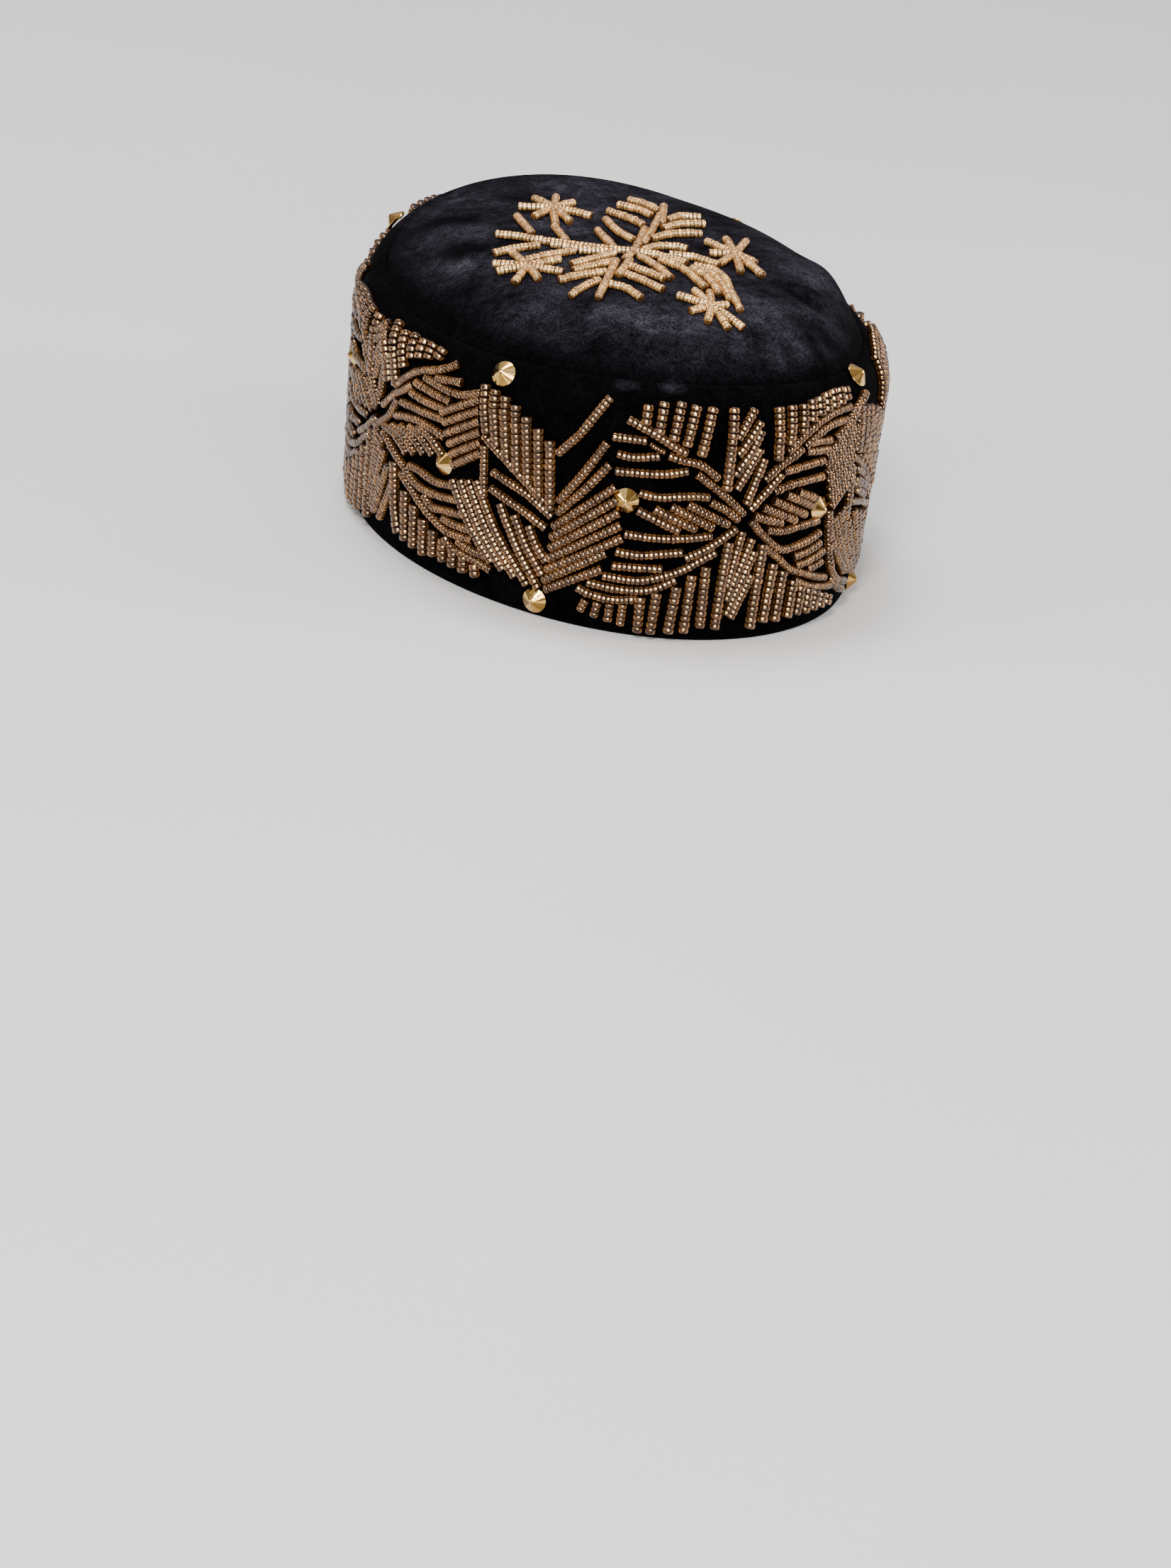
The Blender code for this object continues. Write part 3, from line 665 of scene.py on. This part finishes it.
SIDE_FLOWER_LEFT_SIDE = [
    (FINE, (-4.5, 40.5), (6, 48), (9.5, 52.5), (12.5, 57)),
    (FINE, (1.8, 50.5), (11, 58.5), (16, 61.5), (21.8, 66)),
    (FINE, (11, 61.5), (19, 68), (26, 73), (33.5, 76.5), (39, 79.5), (43, 82.8)),
    (FINE, (35, 74), (47, 76.8)),
    (FINE, (29, 71.7), (36, 71.5), (46, 72), (55.5, 76)),
    (FINE, (23.3, 67.5), (42.5, 67.5)),
    (FINE, (21, 62.8), (31, 63), (39.5, 64)),
    (FINE, (15, 57), (26, 58.3), (40, 60)),
    (FINE, (11, 50.5), (19, 53), (27, 54.5), (36, 54.2), (40, 53.5)),
    (FINE, (2.5, 41.3), (10, 37.5), (17, 34.5), (26, 30.8), (36, 31), (49, 33.3)),
    (FINE, (16, 31.3), (23.5, 27.5), (31, 23.5), (40, 20.2), (46, 19.8), (54.5, 20.8)),
    (FINE, (30, 28.5), (34.5, 26), (41, 27), (50.5, 28.5)),
    (FINE, (40, 23.8), (46.5, 23.5), (54, 24)),
    (FINE, (41.5, 17.3), (45, 14.5), (55, 13.5), (62.5, 12.3)),
    (FINE, (47.5, 18), (54, 16.8), (60.5, 16.8)),
    (FINE, (21.3, 36), (27, 36.5), (36, 35.8), (45, 37.5)),
]
SIDE_FLOWER_LEFT_SIDE += [
    (BOLD, (-0.7, 80), (6, 61)),
    (BOLD, (5.2, 86.5), (11.5, 61.5)),
    (BOLD, (12, 84.5), (16.3, 70)),
    (BOLD, (12, 34), (13.2, 17), (16, 9)),
]
SIDE_FLOWER_LEFT_SIDE += fan(BOLD, 4, ((17.8, 86), (20.2, 75.5)), ((34.2, 86.5), (33.2, 81)))
SIDE_FLOWER_LEFT_SIDE += fan(MEDIUM, 5, ((26, 52.3), (39.5, 46.8)), ((4, 44), (20, 40)), bow=1.5)
SIDE_FLOWER_LEFT_SIDE += fan(BOLD, 3, ((19.7, 26.3), (20.2, 8)), ((30.7, 20), (30.7, 6.7)))
SIDE_FLOWER_LEFT_SIDE += fan(BOLD, 5, ((36, 18), (36, 8.3)), ((55.7, 12.5), (56, 7.8)))
SIDE_FLOWER_LEFT_SIDE += fan(MEDIUM, 4, ((11.5, 26.5), (2, 9)), ((0, 40), (-8, 14)))

CHEVRON = [
    (FINE, (-17.8, 61), (-6.3, 53.5), (6.3, 44.3)),
    (FINE, (-13.8, 49), (-1.3, 45.5), (9.3, 39.5)),
    (FINE, (-14.5, 42.8), (-1.3, 38.5), (7.3, 34.5)),
    (FINE, (-17.5, 57.5), (-17, 38.5)),
    (MEDIUM, (10.3, 63.5), (26, 83)),
]
CHEVRON += fan(BOLD, 7, ((-18.5, 78.3), (-16.5, 62.5)), ((7.5, 67.8), (8.5, 42)), crest=2.5)
CHEVRON += fan(MEDIUM, 6, ((-37, 62.5), (-19.8, 73.5)), ((-30.8, 45.3), (-18.3, 54.5)))
CHEVRON += fan(MEDIUM, 4, ((-31, 40), (-12.8, 15.3)), ((-20.3, 43.5), (1.3, 11.5)), bow=-1.5)
CHEVRON += fan(MEDIUM, 3, ((-10.3, 38.5), (5.3, 11.5)), ((1, 34), (8, 22.3)), bow=-0.8)
CHEVRON += fan(MEDIUM, 2, ((11.3, 46), (26.8, 72)), ((11, 41.5), (28, 64)), bow=-0.5)
CHEVRON += fan(MEDIUM, 5, ((9.8, 36), (30.3, 56)), ((7.8, 19.3), (33.5, 37.5)))
CHEVRON += fan(MEDIUM, 2, ((7, 15), (28.3, 30.8)), ((7.8, 11.8), (27.3, 24.5)))

# The zigzag at the front left is sewn closer, with more strands between the others
# and short ones up to the seam
CHEVRON_FILL = [
    (MEDIUM, (-31, 44.5), (-28.8, 33), (-25.5, 22), (-19, 14.5), (-9, 10.3)),
    (MEDIUM, (-24, 16.5), (-17.5, 11), (-11.5, 8.3)),
]
CHEVRON_FILL += fan(MEDIUM, 5, ((11, 59.5), (24.5, 80)), ((11.3, 49.5), (26.8, 74)))
CHEVRON_FILL += fan(MEDIUM, 2, ((-37, 66), (-20.5, 77)), ((-33, 72), (-12, 80.5)))
CHEVRON_FILL += fan(MEDIUM, 3, ((-14, 55.5), (2, 46)), ((-12, 47), (-1, 41)))
CHEVRON_FILL += fan(MEDIUM, 10, ((13, 87.5), (11.5, 72)), ((49, 85.5), (45, 75)), crest=2.2)

# Columns: side, middle along the band in millimetres, reach of the strands at the top
# as a share of the chart, strands of the left half
FLOWERS = (
    ("front", 0, 1, FLOWER_LEFT_SIDE),
    ("right", -151, 0.85, SIDE_FLOWER_LEFT_SIDE),
    ("left", 147, 0.8, FLOWER_LEFT_SIDE),
    ("back", 299.8, 0.85, FLOWER_LEFT_SIDE),
)
for index, (side, middle, reach, left_half) in enumerate(FLOWERS):
    strands = FLOWER_RIGHT_SIDE + FLOWER_MIDDLE + left_half
    bead_field(
        "flower_beads_" + side, "bead_flower_" + side, on_band, (middle * MM, 0), strands,
        reach, band_beads, 10 + index,
    )

# Columns: corner, middle along the band in millimetres
CHEVRONS = (
    ("front_right", -75.6), ("front_left", 68.5), ("back_left", 224.3), ("back_right", -226.6)
)
for index, (corner, middle) in enumerate(CHEVRONS):
    strands = CHEVRON + CHEVRON_FILL if corner == "front_left" else CHEVRON
    bead_field(
        "chevron_beads_" + corner, "bead_chevron_" + corner, on_band, (middle * MM, 0),
        strands, 1, band_beads, 20 + index,
    )

# Spray and stars
# Thin strands of paler gold beads, brighter partly by painted light from above, sewn
# flat on the crown as a leafy spray with four small stars about it. Places are in
# millimetres from the crown's middle, to the wearer's left and to the back.
SPRAY = [
    (THIN, (-2, -6.5), (-10, -2), (-20, 5), (-29.5, 13.5), (-34, 19), (-40.2, 24.5)),
    (THIN, (-11, -4), (-20, 1.5), (-27, 8)),
    (THIN, (-28.5, 20), (-25, 40)),
    (THIN, (-20.5, 9), (-17.5, 25)),
    (THIN, (-16.5, 26), (-12.5, 36), (-9, 44)),
    (THIN, (-49, 7), (-40, 7.8), (-31.5, 8)),
    (THIN, (-42.5, -4.5), (-33, -2.5), (-22, -0.5)),
    (THIN, (-20.5, -0.5), (-14, -3.5), (-8.5, -6.5)),
    (THIN, (-29.5, -13.5), (-19, -10), (-10.5, -6.8)),
    (THIN, (-31.5, -19), (-22, -16.5), (-13.5, -14.5)),
    (THIN, (-40, -25.5), (-31, -24), (-21, -23.5)),
    (THIN, (-41.5, -38.5), (-34, -33.5), (-27, -30.5)),
    (THIN, (-12.5, -14), (-23, -29), (-33.5, -43.5)),
    (THIN, (-25, -34.5), (-21.5, -39.5), (-20.2, -49)),
    (THIN, (-16, -26), (-12.8, -34), (-9.8, -44.5)),
    (THIN, (-11, -19), (-7.4, -27), (-4.8, -35.5)),
    (THIN, (-2.2, -11), (-1.5, -24), (-2.3, -35.5)),
    (THIN, (3, -16.5), (6.3, -27.5), (5.5, -46)),
    (THIN, (-1.5, -7), (4, -12), (8.5, -19), (10, -23)),
    (THIN, (11.6, -25.5), (16.2, -30.5), (16.3, -40), (13, -50), (9.8, -64)),
    (THIN, (12.2, -29), (13.8, -37), (12.2, -47), (9.3, -57)),
    (THIN, (9.8, -27.5), (10.6, -38), (8, -52)),
    (THIN, (8.5, -12.5), (15, -16.5), (18.5, -22), (20.5, -27)),
    (THIN, (1.5, -6), (9, -3.5), (14, -5), (17.5, -9)),
    (THIN, (9.5, 4.3), (20, 7.5), (30.5, 5.8)),
    (THIN, (19, 13.5), (28, 16.8), (36.8, 15.6)),
    (THIN, (25, 21.5), (32, 25.5), (39, 23.2)),
    (THIN, (-9.5, -14), (-1, -5), (12.5, 14.5)),
    (THIN, (-18.5, -27.5), (-12, -20), (-7.5, -14.5)),
    (THIN, (4.5, 0), (14, 12), (25, 27.5)),
    (THIN, (21, 18), (31.8, 38)),
    (THIN, (3.2, 4.5), (2.2, 16), (3.8, 28)),
    (THIN, (14, 18.5), (12.2, 28), (8.8, 36.5)),
    (THIN, (22, 28), (20.2, 35.5), (16.2, 43)),
    (THIN, (27.5, 33), (26.8, 42), (24, 50)),
    (THIN, (-7, -1), (-5.8, 9), (-4.5, 17.5)),
]

# Rays of each star, which start just out from its heart. Columns: name, heart, then
# the tip of each ray
RAY_START = 0.02
STARS = (
    (
        "back", (-8, 45), (-19.3, 50.8), (-9, 59.5), (-0.5, 59), (2, 50), (0.5, 32.5),
        (-10, 28.5), (-19.5, 37.5),
    ),
    (
        "right", (-43.8, -9.5), (-53, -1.5), (-54.8, -8), (-43.2, 5), (-30.8, -7.5),
        (-35.3, -19.5), (-45.5, -21.5), (-53.2, -19.5),
    ),
    (
        "left", (32, -17), (28, -2.5), (36.5, -0.8), (42.8, -4.3), (23, -14.2), (20.8, -26),
        (25.3, -34), (31.8, -37.5), (35, -27),
    ),
    (
        "front", (0.8, -60.5), (-7, -50), (0.5, -47.5), (5.3, -49.5), (-8.3, -62),
        (-5.3, -69.5), (0.4, -74), (6, -74), (7, -60),
    ),
)

bead_field(
    "spray_beads", "bead_crown_spray", on_crown, (0, 0), SPRAY, 1, crown_beads, 30
)
for index, (name, heart, *tips) in enumerate(STARS):
    rays = []
    for tip in tips:
        begin = np.array(heart) * (1 - RAY_START) + np.array(tip) * RAY_START
        rays.append((THIN, begin, tip))
    bead_field(
        "star_beads_" + name, "bead_star_" + name, on_crown, (0, 0), rays, 1,
        crown_beads, 40 + index,
    )

# Gold studs
# Pressed metal studs with a round rim and a low polished cone, clenched through the
# velvet around each zigzag. Eight tones of painted reflection round the cone, from dark
# to a bluish white, stand for its facets.
STUD_SEGMENTS = 24
FACET_PAINTED_LIGHT = (0.95, 0.30, 0.70, 0.10, 0.85, 0.40, 0.15, 0.60)
RIM_PAINTED_LIGHT = 0.5
CONE_SLOPE = 0.3
STUD_BASE = 4.0 * MM
STUD_RADIUS = 4.4 * MM
STUD_GIRDLE = 1.0 * MM
STUD_POINT = 3.3 * MM
STUD_BEVEL = 0.12 * MM
STUD_LIFT = 0.3 * MM
# Places in millimetres: along the band from the front, and up from the rim.
# Columns: corner, top stud, its two side studs, bottom stud
STUDS = (
    ("front_right", (-89, 83), (-111.5, 44), (-41.8, 51.5), (-71.6, 6.4)),
    ("front_left", (55.5, 87), (32, 46.2), (102.3, 51.5), (72.8, 6.2)),
    ("back_left", (209.8, 84), (187.3, 45), (258.1, 51.5), (228.6, 6.2)),
    ("back_right", (-241, 84), (-263.2, 45), (-192.8, 51.5), (-222.3, 6.2)),
)
STUD_SPOTS = ("top", "side_a", "side_b", "bottom")
stud_gold, tree, shader = new_material("polished_gold_stud")
place = add_node(tree, "TexCoord").outputs["Object"]
scuffs = add_node(tree, "TexNoise", Scale=700, Detail=4, Roughness=0.6)
tree.links.new(place, scuffs.inputs["Vector"])
colour = ramp_of(tree, scuffs.outputs["Fac"], (
    (0.35, (0.85, 0.44, 0.10)), (0.7, (1.0, 0.64, 0.20)),
))
worn = ramp_of(tree, scuffs.outputs["Fac"], (
    (0.35, (0.03, 0.03, 0.03)), (0.75, (0.13, 0.13, 0.13)),
))
dents = add_node(tree, "Bump", Strength=0.25, Distance=0.0003)
tree.links.new(scuffs.outputs["Fac"], dents.inputs["Height"])
tree.links.new(dents.outputs["Normal"], shader.inputs["Normal"])
facet = add_node(tree, "Attribute", attribute_name="facet_painted_light")
# Painted reflections of the facets, from dark through warm to a bluish white, multiplied into the
# gold
painted_facet_light = ramp_of(tree, facet.outputs["Fac"], (
    (0.0, (0.20, 0.19, 0.16)), (0.5, (0.75, 0.78, 0.80)), (1.0, (1.0, 1.15, 1.7)),
))
mix = add_node(tree, "Mix", data_type="RGBA", blend_type="MULTIPLY")
mix.inputs["Factor"].default_value = 1
tree.links.new(colour, mix.inputs["A"])
tree.links.new(painted_facet_light, mix.inputs["B"])
tree.links.new(mix.outputs["Result"], shader.inputs["Base Color"])
tree.links.new(worn, shader.inputs["Roughness"])
shader.inputs["Metallic"].default_value = 1

for row, (corner, *places) in enumerate(STUDS):
    for step, (spot, (along, up)) in enumerate(zip(STUD_SPOTS, places)):
        spot_place = np.array([along * MM]), np.array([up * MM])
        base = on_band(*spot_place)[0]
        normal = Vector(facing_out(on_band, *spot_place)[0])
        stud = bmesh.new()
        bmesh.ops.create_cone(
            stud, cap_ends=True, segments=STUD_SEGMENTS, radius1=STUD_BASE, radius2=STUD_RADIUS,
            depth=STUD_GIRDLE,
        )
        top = max(stud.faces, key=lambda face: face.calc_center_median().z)
        bmesh.ops.poke(stud, faces=[top], offset=STUD_POINT)
        # Each facet of the cone gets its own painted reflection, and the rim a middle one
        tone = stud.faces.layers.float.new("facet_painted_light")
        for face in stud.faces:
            middle = face.calc_center_median()
            share = math.atan2(middle.y, middle.x) / (2 * math.pi) % 1
            facet = int(share * len(FACET_PAINTED_LIGHT)) + 3 * row + 5 * step
            on_cone = face.normal.z > CONE_SLOPE
            face[tone] = FACET_PAINTED_LIGHT[facet % len(FACET_PAINTED_LIGHT)] if on_cone else RIM_PAINTED_LIGHT
        bmesh.ops.bevel(
            stud, geom=stud.edges[:], offset=STUD_BEVEL, segments=2, profile=0.5,
            affect="EDGES", material=-1,
        )
        turned = normal.to_track_quat("Z", "Y").to_matrix().to_4x4()
        seat = Vector(base) + normal * (STUD_LIFT + STUD_GIRDLE / 2)
        bmesh.ops.transform(stud, matrix=Matrix.Translation(seat) @ turned, verts=stud.verts)
        name = corner + "_" + spot
        mesh = bpy.data.meshes.new("gold_stud_" + name)
        stud.to_mesh(mesh)
        stud.free()
        mesh.materials.append(stud_gold)
        thing = bpy.data.objects.new("gold_stud_" + name, mesh)
        bpy.context.scene.collection.objects.link(thing)
        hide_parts("stud_" + name)
        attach(thing, "root")

# Floor and light
# A plain pale studio floor under a sky that is brightest overhead. Two soft lights
# stand at the front, one high and one low, one on each side, and one above the back.
FLOOR_SIZE = 6
LIT_PLACE = Vector((0, 0, 0.06))
floor_mesh = bmesh.new()
bmesh.ops.create_grid(floor_mesh, x_segments=1, y_segments=1, size=FLOOR_SIZE)
mesh = bpy.data.meshes.new("floor")
floor_mesh.to_mesh(mesh)
floor_mesh.free()
floor = bpy.data.objects.new("floor", mesh)
bpy.context.scene.collection.objects.link(floor)
floor_paint, tree, shader = new_material("pale_floor")
grain = add_node(tree, "TexNoise", Scale=3, Detail=2)
tree.links.new(add_node(tree, "TexCoord").outputs["Object"], grain.inputs["Vector"])
tint = ramp_of(tree, grain.outputs["Fac"], (
    (0.3, (0.60, 0.60, 0.605)), (0.7, (0.63, 0.63, 0.635)),
))
tree.links.new(tint, shader.inputs["Base Color"])
shader.inputs["Roughness"].default_value = 0.9
floor.data.materials.append(floor_paint)

world = bpy.data.worlds.new("studio")
world.use_nodes = True
tree = world.node_tree
height = add_node(tree, "SeparateXYZ")
tree.links.new(add_node(tree, "TexCoord").outputs["Generated"], height.inputs["Vector"])
sky = ramp_of(tree, height.outputs["Z"], (
    (0.0, (0.15, 0.15, 0.15)), (0.12, (0.30, 0.30, 0.30)), (0.45, (0.57, 0.565, 0.56)),
    (1.0, (1.0, 1.0, 1.0)),
))
tree.links.new(sky, tree.nodes["Background"].inputs["Color"])
tree.nodes["Background"].inputs["Strength"].default_value = 0.9
bpy.context.scene.world = world

# Columns: name, place, size, power, colour
LIGHTS = (
    ("key_light", (-0.95, -1.25, 1.45), 0.4, 38, (1, 0.97, 0.93)),
    ("front_light", (-0.5, -1.9, 0.75), 0.8, 20, (1, 0.97, 0.92)),
    ("right_light", (1.4, -0.7, 0.75), 0.5, 16, (1, 0.93, 0.85)),
    ("left_light", (-1.6, 0.1, 0.7), 0.5, 12, (1, 0.93, 0.85)),
    ("top_light", (-0.1, 0.5, 1.9), 0.7, 30, (0.97, 0.98, 1)),
)
for name, where, size, power, tint in LIGHTS:
    lamp = bpy.data.lights.new(name, "AREA")
    lamp.shape = "SQUARE"
    lamp.size = size
    lamp.energy = power
    lamp.color = tint
    thing = bpy.data.objects.new(name, lamp)
    thing.location = where
    thing.rotation_euler = (LIT_PLACE - thing.location).to_track_quat("-Z", "Y").to_euler()
    bpy.context.scene.collection.objects.link(thing)
